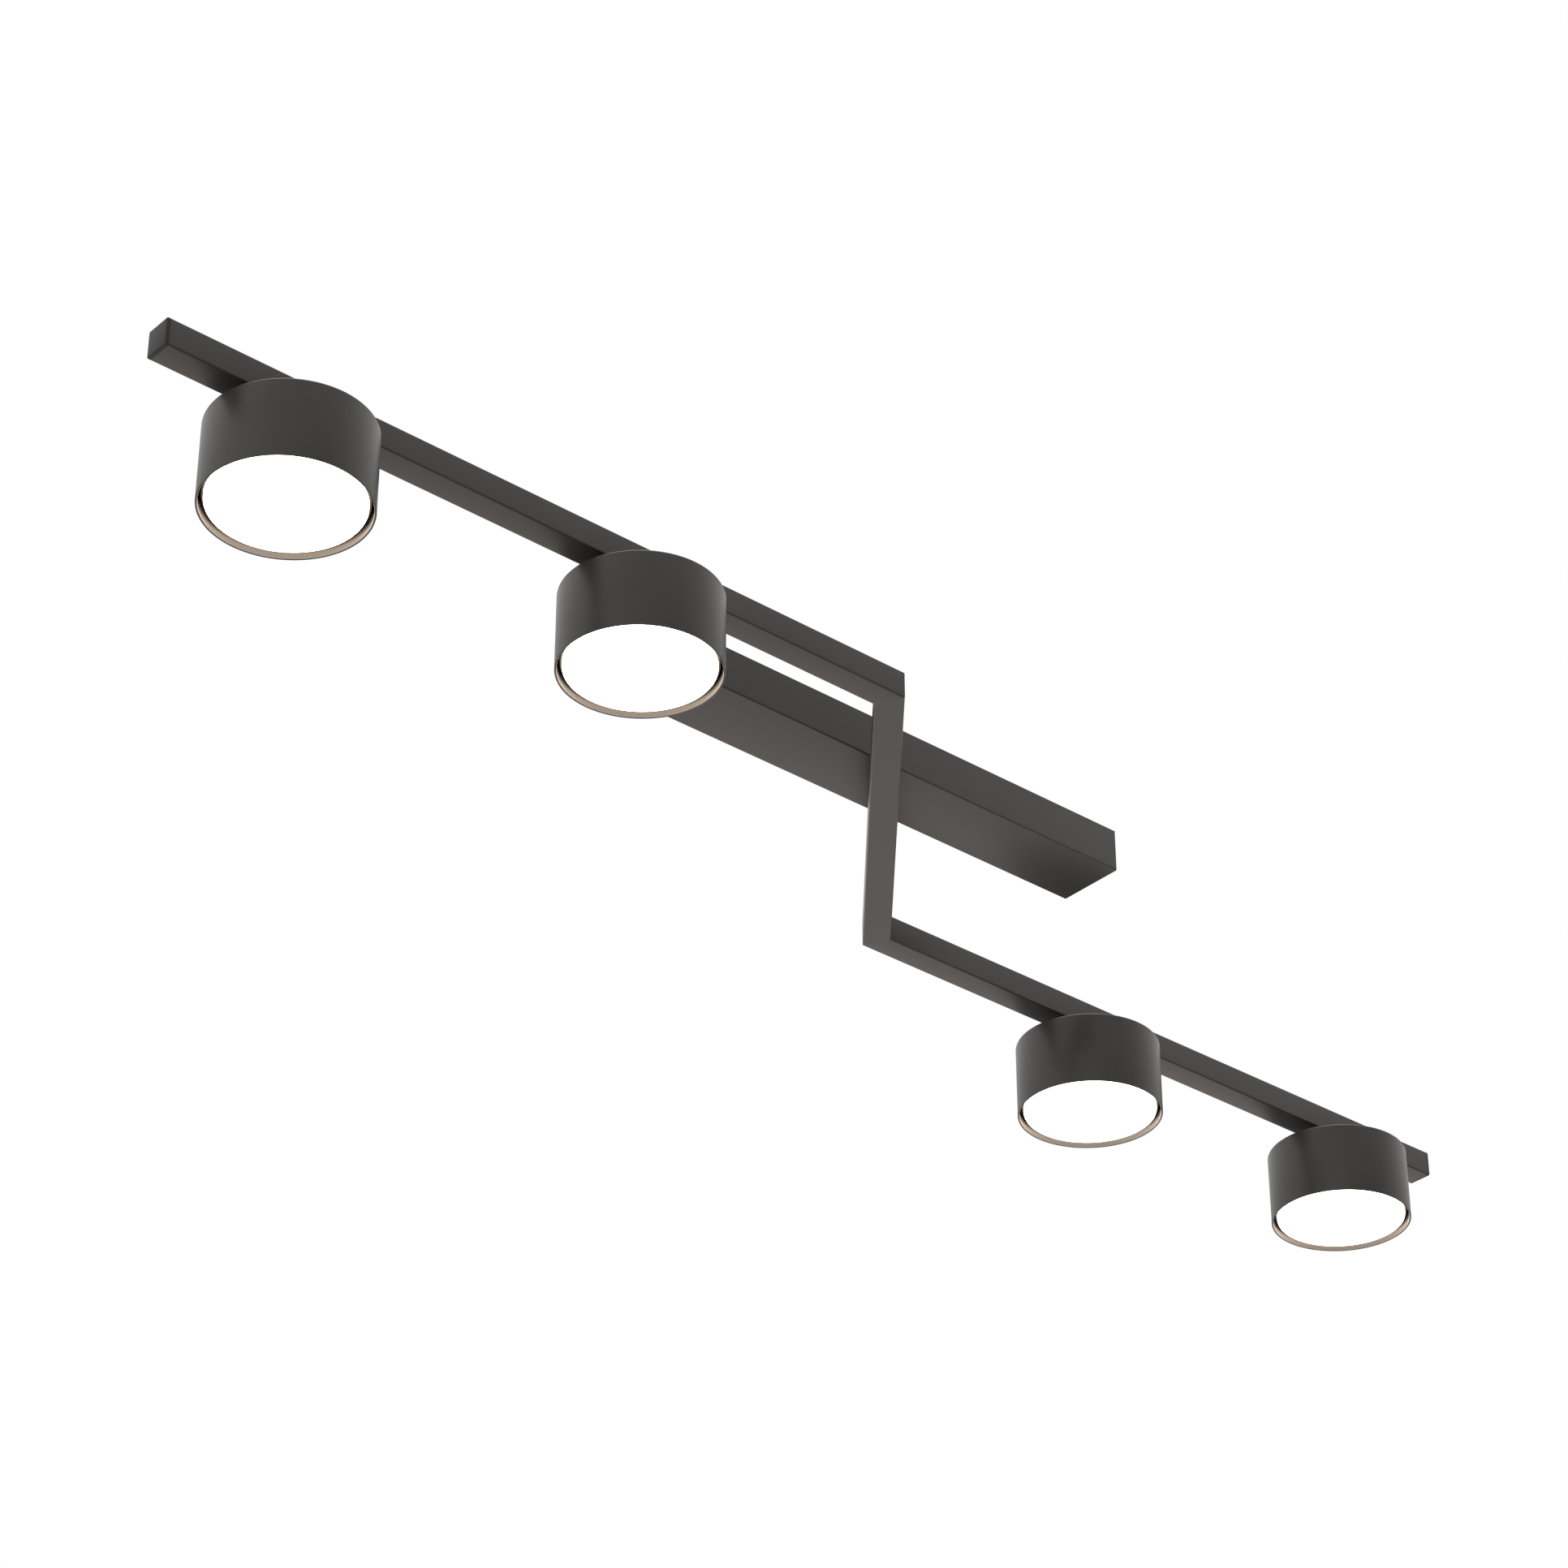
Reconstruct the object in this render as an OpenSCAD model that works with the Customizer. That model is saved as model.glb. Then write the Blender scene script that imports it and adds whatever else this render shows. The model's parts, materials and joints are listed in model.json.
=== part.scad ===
// Ceiling light: a cranked square-tube frame hangs under a slim canopy and carries four round lamp heads.
// The origin is the middle of the canopy on the ceiling plane, +Z is up, and everything hangs below.

/* [Canopy] */
// Length of the canopy cover
canopy_l = 300; // [250:5:380]
// Width of the canopy cover
canopy_w = 40; // [36:1:60]
// Height of the canopy cover
canopy_h = 24.5; // [21:0.5:40]
// Sheet thickness of the canopy cover
canopy_wall = 1.2; // [0.8:0.1:1.5]
// Width of the ceiling bracket
bracket_w = 24; // [20:1:29]
// Sheet thickness of the ceiling bracket
bracket_t = 1.5; // [1:0.1:2]
// Depth of the bracket's end tabs
tab_h = 14; // [11.5:0.5:17]
// Distance between the two ceiling screw slots
slot_pitch = 180; // [150:5:215]
// Width of a ceiling screw slot
slot_w = 5; // [4:0.5:6]
// End-to-end length of a ceiling screw slot
slot_l = 12; // [8:1:14]
// Diameter of the supply cable hole
cable_hole_d = 12; // [8:0.5:14]
// Distance from the middle of the bracket to the supply cable hole
cable_hole_x = 55; // [45:1:65]

/* [Frame] */
// Overall length of the frame
frame_l = 1012; // [850:2:1250]
// Distance between the centre lines of the two arms
arm_offset = 181; // [150:1:240]
// Angle between the middle bar and the arms
bar_angle = 50; // [42:1:90]
// Outside width of the square tube
tube = 15; // [13:0.5:20]
// Wall of the square tube
tube_wall = 1.2; // [1:0.1:1.5]
// Outside corner radius of the square tube
tube_r = 1; // [0.5:0.1:1.2]
// Thickness of an end cap's flange
cap_t = 2; // [1.5:0.1:3]
// Depth of an end cap's plug
cap_plug = 8; // [5:0.5:12]

/* [Stems] */
// Gap that a sleeve keeps between two parts
stem_gap = 8.5; // [6:0.5:20]
// Wall of a sleeve
sleeve_wall = 1.8; // [1.2:0.1:2.4]
// Wall of a hollow nipple
nipple_wall = 1.5; // [1:0.1:1.8]
// Wall of a square nut between its bore and its flat
square_nut_wall = 1; // [0.8:0.1:1.4]
// Thickness of a hexagon nut
hex_nut_h = 3; // [2.5:0.5:4]
// Wall of a hexagon nut between its bore and its flat
hex_nut_wall = 2; // [1.5:0.1:2.4]
// Thickness of a square nut
square_nut_h = 4; // [3:0.25:5]

/* [Lamp heads] */
// Space for wiring between the lamp holder and the shell's ceiling
wiring_space = 9.3; // [7.5:0.1:20]
// Radial gap between the lamp and the shell
lamp_gap = 1.5; // [1:0.1:3]
// Wall of a head's shell
head_wall = 1; // [0.8:0.1:1.2]
// Radius of a shell's top edge
head_edge_r = 1.2; // [0.5:0.1:1.5]
// Distance from an arm's end to its outer head's centre
head_end = 73; // [60:1:95]
// Distance between the two heads on an arm
head_pitch = 200.5; // [150:0.5:240]

/* [Lamp] */
// Diameter of the lamp's housing
lamp_d = 75; // [66:0.5:90]
// Height of the housing from the lamp's face to its shoulder
lamp_h = 17; // [14:0.5:22]
// Gap between the lamp's nose and the heads of its pins
nose_gap = 3.5; // [2.5:0.1:4.5]
// Height of the lamp's nose above the shoulder
nose_h = 9; // [7:0.5:11]
// Depth of the lamp's face inside the shell's rim
lamp_recess = 1.2; // [0.5:0.1:3]
// Distance between the lamp's two contact pins
pin_pitch = 53; // [44:0.5:58]
// Diameter of a contact pin's head
pin_head_d = 5; // [4.2:0.1:6]
// Turn that frees the lamp from its holder, in degrees
twist = 18; // [15:1:22]

/* [Holder] */
// Wall of the lamp holder outside its contact chambers
holder_rim = 5.5; // [4:0.1:7]
// Height of the lamp holder
holder_h = 13; // [11:0.5:16]

/* [Hidden] */
$fn = 96;

// Clearances
thread_clear = 0.05;   // radial, nipple in nut
hole_clear = 0.2;      // radial, nipple in a plain hole
slide_clear = 0.3;     // square nut, plug or tab beside a wall
turn_clear = 0.25;     // radial, a pin in its slot
plug_clear = 0.1;      // an end cap's plug beside a wall
nut_clear = 0.76;      // a hanger nut's corner beside the canopy's wall
pin_clear = 0.7;       // a pin's head inside its chamber
nose_clear = 1;        // radial, the lamp's nose in the holder
cut = 1;               // how far a cutter runs past a face

// Threaded fittings, sized to what goes inside the tube
tube_in = tube - 2 * tube_wall;
nipple_d = tube_in - 2 * slide_clear - 2 * square_nut_wall;
nipple_bore = nipple_d - 2 * nipple_wall;
sleeve_d = nipple_d + 2 * (hole_clear + sleeve_wall);
hex_nut_af = nipple_d + 2 * hex_nut_wall;
hex_nut_r = hex_nut_af / 2 / cos(30);

// Heights inside a head, from its rim up
axial_play = 0.5;
slot_plate = 2;
holder_roof = 3;
face_z = lamp_recess;
shoulder_z = face_z + lamp_h;
holder_z = shoulder_z + axial_play;
chamber_z = holder_z + slot_plate;
chamber_h = holder_h - slot_plate - holder_roof;
holder_top = holder_z + holder_h;
head_ceiling = holder_top + wiring_space;
head_h = head_ceiling + head_wall;
pin_lift = 0.2;
pin_head_h = 1.8;
nipple_past = 1;       // how far a nipple stands out of its hexagon nut

// Heights of the stacked parts, from the ceiling down
canopy_floor = -canopy_h + canopy_wall;
tube_top = -canopy_h - stem_gap;
tube_mid = tube_top - tube / 2;
tube_bottom = tube_top - tube;
rim_z = tube_bottom - stem_gap - head_h;

// Plan of the frame
arm_y = arm_offset / 2;
corner_x = arm_y / tan(bar_angle);
bar_l = 2 * arm_y / sin(bar_angle);
outer_x = frame_l / 2 - head_end;
inner_x = outer_x - head_pitch;
head_at = [[-outer_x, -arm_y], [-inner_x, -arm_y], [inner_x, arm_y], [outer_x, arm_y]];
hanger_y = canopy_w / 2 - canopy_wall - hex_nut_r - nut_clear;
hanger_at = [for (s = [-1, 1]) s * hanger_y * [1 / tan(bar_angle), 1]];

// Lamp details
pin_neck_d = 3;
lamp_wall = 1.5;
diffuser_h = 6;
diffuser_r = lamp_d / 2 - 1;
diffuser_edge = 1.5;
ring_z = 3;            // where the housing's ring starts, above the lamp's face
board_z = diffuser_h + 1.3;
board_t = 1.2;
board_ledge = 2;
chip = [3.5, 2.8, 0.7];
chip_count = 18;
chip_ring = lamp_d / 2 - 13.5;

// Holder and lamp, outwards from a head's axis
pin_r = pin_pitch / 2;
nose_r = pin_r - pin_head_d / 2 - nose_gap;
hole_r = nose_r + nose_clear;
chamber_in = pin_r - pin_head_d / 2 - pin_clear;
chamber_w = pin_head_d + 2 * pin_clear + 1.3;
chamber_before = 8;    // degrees of chamber behind the entry hole
chamber_after = 9;     // degrees of chamber past the locked pin
holder_r = chamber_in + chamber_w + holder_rim;
head_in_r = max(lamp_d / 2, holder_r) + lamp_gap;
head_r = head_in_r + head_wall;
holder_screw_r = (hole_r + holder_r) / 2;
holder_screw_d = 3.5;
holder_head_d = 6.5;
holder_head_h = 2.4;
spacer_d = 8;

// Wiring
cable_d = 3.6;
lead_d = 1.6;
lead_side = 1.1;
cable_facets = 8;
lead_z = holder_top + 2.5;
lead_end = chamber_z + chamber_h + lead_d / 2 * cos(180 / cable_facets);
block = [26, 20, 12];
block_x = 58;
block_end = block_x + block[0];
cable_rise = canopy_floor + 8;
cable_turn_x = 24;
arm_cable_z = (tube_bottom + square_nut_h + tube_top) / 2;
bar_cable_z = (tube_bottom + tube_top - square_nut_h) / 2;
earth_at = [38, 11];

// Canopy screws
canopy_screw_d = 4;
canopy_screw_z = -8;
canopy_head_d = 7.6;
canopy_head_h = 2.2;
end_inner = canopy_l / 2 - canopy_wall;

paint = "#454442";
plastic = "#303030";
steel = "#b9bbbe";
brass = "#c9a34a";
opal = "#fffaf0";
white = "#e8e6e0";
green = "#6f9a3a";

// A square with round corners, centred
module rounded_square(size, r) {
    x = size[0] / 2 - r;
    y = size[1] / 2 - r;
    square([size[0], 2 * y], center = true);
    square([2 * x, size[1]], center = true);
    for (sx = [-1, 1], sy = [-1, 1])
        translate([sx * x, sy * y])
            circle(r, $fn = 48);
}

// A square tube along +X, its middle on the X axis
module tube_along(x0, x1) {
    translate([x0, 0, 0])
        rotate([90, 0, 90])
            linear_extrude(x1 - x0)
                difference() {
                    rounded_square([tube, tube], tube_r);
                    square(tube_in, center = true);
                }
}

// Everything on the far side of the mitre at the left corner; side 1 is the bar's side
module mitre_cutter(side) {
    big = 4 * tube;
    translate([-corner_x, -arm_y, 0])
        rotate([0, 0, bar_angle / 2])
            translate([side > 0 ? 0 : -big, -big, -big])
                cube([big, 2 * big, 2 * big]);
}

// A run of round cable through a list of points, with round elbows
module cable_run(points, d) {
    for (i = [0 : len(points) - 2])
        hull()
            for (p = [points[i], points[i + 1]])
                translate(p)
                    sphere(d = d, $fn = cable_facets);
}

// A plain nut that is bored for the nipple
module bored(h, r) {
    difference() {
        children();
        translate([0, 0, -cut])
            cylinder(r = r, h = h + 2 * cut);
    }
}

module hex_nut() {
    bored(hex_nut_h, nipple_d / 2 + thread_clear)
        cylinder(r = hex_nut_r, h = hex_nut_h, $fn = 6);
}

module square_nut() {
    side = tube_in - 2 * slide_clear;
    bored(square_nut_h, nipple_d / 2 + thread_clear)
        translate([-side / 2, -side / 2, 0])
            cube([side, side, square_nut_h]);
}

// A hollow threaded nipple from z0 up to z1
module nipple(z0, z1) {
    translate([0, 0, z0])
        difference() {
            cylinder(d = nipple_d, h = z1 - z0);
            translate([0, 0, -cut])
                cylinder(d = nipple_bore, h = z1 - z0 + 2 * cut);
        }
}

// A plain sleeve that keeps the gap, standing on z0
module sleeve(z0) {
    translate([0, 0, z0])
        difference() {
            cylinder(d = sleeve_d, h = stem_gap);
            translate([0, 0, -cut])
                cylinder(r = nipple_d / 2 + hole_clear, h = stem_gap + 2 * cut);
        }
}

// Canopy

module canopy_cover() {
    edge_r = 1;
    color(paint)
        difference() {
            translate([0, 0, -canopy_h])
                linear_extrude(canopy_h)
                    rounded_square([canopy_l, canopy_w], edge_r);
            translate([-end_inner, canopy_wall - canopy_w / 2, canopy_floor])
                cube([2 * end_inner, canopy_w - 2 * canopy_wall, canopy_h]);
            for (p = hanger_at)
                translate([p[0], p[1], -canopy_h - cut])
                    cylinder(r = nipple_d / 2 + hole_clear, h = canopy_wall + 2 * cut);
            for (s = [-1, 1])
                translate([s * (end_inner - cut), 0, canopy_screw_z])
                    rotate([0, s * 90, 0])
                        cylinder(d = canopy_screw_d + 2 * hole_clear, h = canopy_wall + 2 * cut);
        }
}

module ceiling_bracket() {
    x = end_inner - slide_clear;
    color(steel)
        difference() {
            union() {
                translate([-x, -bracket_w / 2, -bracket_t])
                    cube([2 * x, bracket_w, bracket_t]);
                for (s = [-1, 1])
                    translate([s > 0 ? x - bracket_t : -x, -bracket_w / 2, -tab_h])
                        cube([bracket_t, bracket_w, tab_h]);
            }
            for (s = [-1, 1])
                translate([s * slot_pitch / 2, 0, -bracket_t - cut])
                    linear_extrude(bracket_t + 2 * cut)
                        slot_outline();
            translate([-cable_hole_x, 0, -bracket_t - cut])
                cylinder(d = cable_hole_d, h = bracket_t + 2 * cut);
            for (s = [-1, 1])
                translate([s * (x - bracket_t - cut), 0, canopy_screw_z])
                    rotate([0, s * 90, 0])
                        cylinder(r = canopy_screw_d / 2 + thread_clear, h = bracket_t + 2 * cut);
        }
}

module slot_outline() {
    straight = slot_l - slot_w;
    square([straight, slot_w], center = true);
    for (s = [-1, 1])
        translate([s * straight / 2, 0])
            circle(d = slot_w);
}

// Two screws that hold the cover's end walls to the bracket's tabs
module canopy_screws() {
    shank = 8;
    color(paint)
        for (s = [-1, 1])
            translate([s * canopy_l / 2, 0, canopy_screw_z])
                rotate([0, s * 90, 0]) {
                    translate([0, 0, -shank])
                        cylinder(d = canopy_screw_d, h = shank);
                    difference() {
                        cylinder(d = canopy_head_d, h = canopy_head_h);
                        translate([0, 0, canopy_head_h / 2])
                            cylinder(d = 2.9, h = canopy_head_h, $fn = 6);
                    }
                }
}

pole_pitch = block[1] / 3;
pole_y = [for (i = [-1, 0, 1]) i * pole_pitch];

module terminal_block() {
    bore = 3.8;
    color(white)
        difference() {
            translate([block_x, -block[1] / 2, canopy_floor])
                cube(block);
            for (y = pole_y) {
                translate([block_x - cut, y, cable_rise])
                    rotate([0, 90, 0])
                        cylinder(d = bore, h = block[0] + 2 * cut, $fn = 48);
                for (x = [block_x + 7, block_end - 7])
                    translate([x, y, cable_rise])
                        cylinder(d = bore, h = block[2], $fn = 48);
            }
        }
}

module terminal_screws() {
    head = 3.4;
    sink = 1;
    color(steel)
        for (y = pole_y, x = [block_x + 7, block_end - 7])
            translate([x, y, cable_rise + cable_d / 2 + 0.05])
                cylinder(d = head, h = block[2] - 8 - cable_d / 2 - sink, $fn = 48);
}

// Earth screw with its washer on the canopy's floor
module earth_screw() {
    color(brass)
        translate([earth_at[0], earth_at[1], canopy_floor]) {
            cylinder(d = 9, h = 1);
            translate([0, 0, 1 + lead_d])
                cylinder(d = 7, h = 2.4);
            cylinder(d = 4, h = 1 + lead_d);
        }
}

// Earth lead from the block's middle pole to a hook round the earth screw
module earth_lead() {
    hook_r = 3;
    z = canopy_floor + 1 + lead_d / 2;
    hook = [for (a = [270 : -45 : 45])
        [earth_at[0] + hook_r * cos(a), earth_at[1] + hook_r * sin(a), z]];
    color(green)
        cable_run(concat([
            [block_x + 3, 0, cable_rise],
            [block_x - 6, 0, cable_rise],
            [block_x - 10, earth_at[1] - hook_r, z]
        ], hook), lead_d);
}

// Wiring of one arm, drawn for the left one: from a pole of the block down a hanger, along the bar
// and the arm, down every nipple, and out to the holder's contacts. The right one is turned half round.
module arm_cable(side, pole) {
    turned = -side;
    hanger = hanger_at[0];
    down = rim_z + lead_z;
    rotate([0, 0, side > 0 ? 180 : 0]) {
        cable_run([
            [turned * (block_x + 3), turned * pole, cable_rise],
            [turned * cable_turn_x, turned * pole, cable_rise],
            [hanger[0], hanger[1], cable_rise],
            [hanger[0], hanger[1], bar_cable_z],
            [-corner_x, -arm_y, arm_cable_z],
            [-outer_x, -arm_y, arm_cable_z],
            [-outer_x, -arm_y, down + 2]
        ], cable_d);
        cable_run([[-inner_x, -arm_y, arm_cable_z], [-inner_x, -arm_y, down + 2]], cable_d);
        for (x = [-outer_x, -inner_x], s = [-1, 1])
            translate([x, -arm_y, rim_z])
                cable_run([
                    [0, s * lead_side, lead_z + 2.5],
                    [0, s * lead_side, lead_z],
                    [s * pin_r, s * lead_side, lead_z],
                    [s * pin_r, s * lead_side, lead_end]
                ], lead_d);
    }
}

module left_cable() {
    color(plastic)
        arm_cable(-1, pole_y[0]);
}

module right_cable() {
    color(plastic)
        arm_cable(1, pole_y[2]);
}

// Hanger

module hanger_sleeves() {
    color(paint)
        for (p = hanger_at)
            translate([p[0], p[1], 0])
                sleeve(tube_top);
}

module hanger_nipples() {
    color(steel)
        for (p = hanger_at)
            translate([p[0], p[1], 0])
                nipple(tube_top - tube_wall - square_nut_h, canopy_floor + hex_nut_h + nipple_past);
}

// All the hexagon nuts: two inside the canopy and one inside each head
module hex_nuts() {
    color(steel) {
        for (p = hanger_at)
            translate([p[0], p[1], canopy_floor])
                hex_nut();
        for (p = head_at)
            translate([p[0], p[1], rim_z + head_ceiling - hex_nut_h])
                hex_nut();
    }
}

// All the square nuts inside the tubes: two under the bar's top wall and one over each head
module square_nuts() {
    color(steel) {
        for (p = hanger_at)
            translate([p[0], p[1], tube_top - tube_wall - square_nut_h])
                rotate([0, 0, bar_angle])
                    square_nut();
        for (p = head_at)
            translate([p[0], p[1], tube_bottom + tube_wall])
                square_nut();
    }
}

// Frame

module left_arm() {
    color(paint)
        difference() {
            translate([0, -arm_y, tube_mid])
                tube_along(cap_t - frame_l / 2, 2 * tube - corner_x);
            translate([0, 0, tube_mid])
                mitre_cutter(1);
            for (x = [-outer_x, -inner_x])
                translate([x, -arm_y, tube_bottom - cut])
                    cylinder(r = nipple_d / 2 + hole_clear, h = tube_wall + 2 * cut);
        }
}

module right_arm() {
    rotate([0, 0, 180])
        left_arm();
}

module middle_bar() {
    reach = bar_l / 2 + 2 * tube;
    color(paint)
        difference() {
            translate([0, 0, tube_mid])
                rotate([0, 0, bar_angle])
                    tube_along(-reach, reach);
            for (turn = [0, 180])
                rotate([0, 0, turn])
                    translate([0, 0, tube_mid])
                        mitre_cutter(-1);
            for (p = hanger_at)
                translate([p[0], p[1], tube_top - tube_wall - cut])
                    cylinder(r = nipple_d / 2 + hole_clear, h = tube_wall + 2 * cut);
        }
}

module left_end_cap() {
    plug = tube_in - 2 * plug_clear;
    color(plastic)
        translate([-frame_l / 2, -arm_y, tube_mid])
            rotate([90, 0, 90]) {
                linear_extrude(cap_t)
                    rounded_square([tube, tube], tube_r);
                translate([0, 0, cap_t])
                    linear_extrude(cap_plug)
                        difference() {
                            square(plug, center = true);
                            square(plug - 2.4, center = true);
                        }
            }
}

module right_end_cap() {
    rotate([0, 0, 180])
        left_end_cap();
}

// Lamp heads: every module below is drawn round a head's axis with its rim at z = 0

module at_head(n) {
    translate([head_at[n - 1][0], head_at[n - 1][1], rim_z])
        children();
}

module shell(n) {
    r = head_r;
    color(paint)
        at_head(n)
            rotate_extrude()
                difference() {
                    union() {
                        square([r, head_h - head_edge_r]);
                        square([r - head_edge_r, head_h]);
                        translate([r - head_edge_r, head_h - head_edge_r])
                            circle(head_edge_r, $fn = 48);
                    }
                    square([head_in_r, head_ceiling]);
                    square([nipple_d / 2 + hole_clear, head_h + cut]);
                }
}

module head_sleeve(n) {
    color(paint)
        at_head(n)
            sleeve(head_h);
}

module head_nipple(n) {
    top = head_h + stem_gap + tube_wall + square_nut_h;
    color(steel)
        at_head(n)
            nipple(head_ceiling - hex_nut_h - nipple_past, top);
}

// Lamp holder: a ring with two keyhole slots under two contact chambers
module holder(n) {
    color(white)
        at_head(n)
            difference() {
                translate([0, 0, holder_z])
                    cylinder(r = holder_r, h = holder_h);
                translate([0, 0, holder_z - cut])
                    cylinder(r = hole_r, h = holder_h + 2 * cut);
                for (turn = [0, 180])
                    rotate([0, 0, turn]) {
                        keyhole();
                        chamber();
                    }
                for (s = [-1, 1])
                    translate([0, s * holder_screw_r, holder_z - cut]) {
                        cylinder(r = holder_screw_d / 2 + hole_clear, h = holder_h + 2 * cut);
                        cylinder(r = holder_head_d / 2 + hole_clear, h = holder_head_h + cut);
                    }
            }
}

// The slot that a pin turns in, and the wide hole where its head goes through
module keyhole() {
    slot_r = pin_neck_d / 2 + turn_clear;
    height = slot_plate + 2 * cut;
    translate([0, 0, holder_z - cut]) {
        rotate([0, 0, -twist])
            rotate_extrude(angle = twist)
                translate([pin_r - slot_r, 0])
                    square([2 * slot_r, height]);
        translate([pin_r, 0, 0])
            cylinder(r = slot_r, h = height);
        rotate([0, 0, -twist])
            translate([pin_r, 0, 0])
                cylinder(r = pin_head_d / 2 + turn_clear, h = height);
    }
}

// The space over a slot, with a hole in its roof for the lead
module chamber() {
    rotate([0, 0, -twist - chamber_before])
        rotate_extrude(angle = twist + chamber_before + chamber_after)
            translate([chamber_in, chamber_z])
                square([chamber_w, chamber_h]);
    translate([pin_r, lead_side, chamber_z])
        cylinder(d = lead_d + 0.6, h = holder_h + cut);
}

// The two contact springs: a blade over each pin, a riser and a tag under the chamber's roof
module contacts(n) {
    blade = 0.5;
    width = 6;
    reach = chamber_w - 1.1;
    x = chamber_in + 0.4;
    low = chamber_z + pin_lift + pin_head_h + 0.2;
    high = chamber_z + chamber_h;
    color(brass)
        at_head(n)
            for (turn = [0, 180])
                rotate([0, 0, turn])
                    translate([x, -width / 2, 0]) {
                        translate([0, 0, low])
                            cube([reach, width, blade]);
                        translate([reach - blade, 0, low])
                            cube([blade, width, high - low]);
                        translate([0, 0, high - blade])
                            cube([reach, width, blade]);
                    }
}

// Two posts in every head between the holder and the shell's ceiling
module holder_spacers() {
    color(steel)
        for (n = [1 : 4], s = [-1, 1])
            at_head(n)
                translate([0, s * holder_screw_r, holder_top])
                    difference() {
                        cylinder(d = spacer_d, h = head_ceiling - holder_top);
                        translate([0, 0, -cut])
                            cylinder(r = holder_screw_d / 2 + hole_clear, h = head_h);
                    }
}

module holder_screws() {
    color(steel)
        for (n = [1 : 4], s = [-1, 1])
            at_head(n)
                translate([0, s * holder_screw_r, holder_z]) {
                    cylinder(d = holder_screw_d, h = head_ceiling - holder_z - 0.05);
                    translate([0, 0, 0.2])
                        cylinder(d = holder_head_d, h = holder_head_h - 0.2);
                }
}

// Lamp: a flat disc lamp that is turned out of its holder

module lamp_housing(n) {
    r = lamp_d / 2;
    color(plastic)
        at_head(n)
            translate([0, 0, face_z])
                difference() {
                    rotate_extrude()
                        difference() {
                            union() {
                                translate([0, ring_z])
                                    square([r, lamp_h - ring_z]);
                                square([nose_r, lamp_h + nose_h]);
                            }
                            square([diffuser_r + 0.05, diffuser_h]);
                            square([r - lamp_wall - board_ledge, board_z]);
                            translate([0, board_z])
                                square([r - lamp_wall, lamp_h - board_z - lamp_wall]);
                            square([nose_r - lamp_wall, lamp_h + nose_h - lamp_wall]);
                        }
                    for (s = [-1, 1])
                        translate([s * pin_r, 0, lamp_h - lamp_wall - cut])
                            cylinder(d = pin_neck_d + 0.1, h = lamp_wall + 2 * cut, $fn = 48);
                }
}

module lamp_pins(n) {
    root = 2.5;        // length of a pin inside the housing
    neck = axial_play + slot_plate + pin_lift;
    color(brass)
        at_head(n)
            for (s = [-1, 1])
                translate([s * pin_r, 0, shoulder_z]) {
                    translate([0, 0, -root])
                        cylinder(d = pin_neck_d, h = root + neck, $fn = 48);
                    translate([0, 0, neck])
                        cylinder(d = pin_head_d, h = pin_head_h, $fn = 48);
                }
}

// Round circuit board with a ring of light-emitting chips on its underside
module led_board(n) {
    r = lamp_d / 2 - lamp_wall - 0.2;
    color(white)
        at_head(n)
            translate([0, 0, face_z + board_z]) {
                cylinder(r = r, h = board_t);
                for (i = [0 : chip_count - 1])
                    rotate([0, 0, i * 360 / chip_count])
                        translate([chip_ring - chip[0] / 2, -chip[1] / 2, -chip[2]])
                            cube(chip);
            }
}

// Opal cup that covers the board
module diffuser(n) {
    color(opal)
        at_head(n)
            translate([0, 0, face_z])
                rotate_extrude()
                    difference() {
                        union() {
                            translate([0, diffuser_edge])
                                square([diffuser_r, diffuser_h - diffuser_edge]);
                            square([diffuser_r - diffuser_edge, diffuser_h]);
                            translate([diffuser_r - diffuser_edge, diffuser_edge])
                                circle(diffuser_edge, $fn = 48);
                        }
                        translate([0, lamp_wall])
                            square([diffuser_r - lamp_wall, diffuser_h]);
                    }
}

canopy_cover();
ceiling_bracket();
canopy_screws();
terminal_block();
terminal_screws();
earth_screw();
earth_lead();
left_cable();
right_cable();
hanger_sleeves();
hanger_nipples();
hex_nuts();
square_nuts();
left_arm();
middle_bar();
right_arm();
left_end_cap();
right_end_cap();
holder_spacers();
holder_screws();
for (n = [1 : 4]) {
    shell(n);
    head_sleeve(n);
    head_nipple(n);
    holder(n);
    contacts(n);
    lamp_housing(n);
    lamp_pins(n);
    led_board(n);
    diffuser(n);
}
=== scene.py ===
# %% [markdown]
# # A cranked ceiling light with four lamp heads
# The real light is a square steel tube, mitred and welded into a crank, that hangs on two short
# sleeves under a slim sheet-metal canopy. Four spun drums hang under the tube, and each holds a flat
# disc lamp behind an opal cup. This lesson takes the engineering model as a frame to build on, gives
# what shows a rounded, finished mesh, and gives every surface the finish that the real one has.

# %% Load the frame
import json
import math

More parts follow.
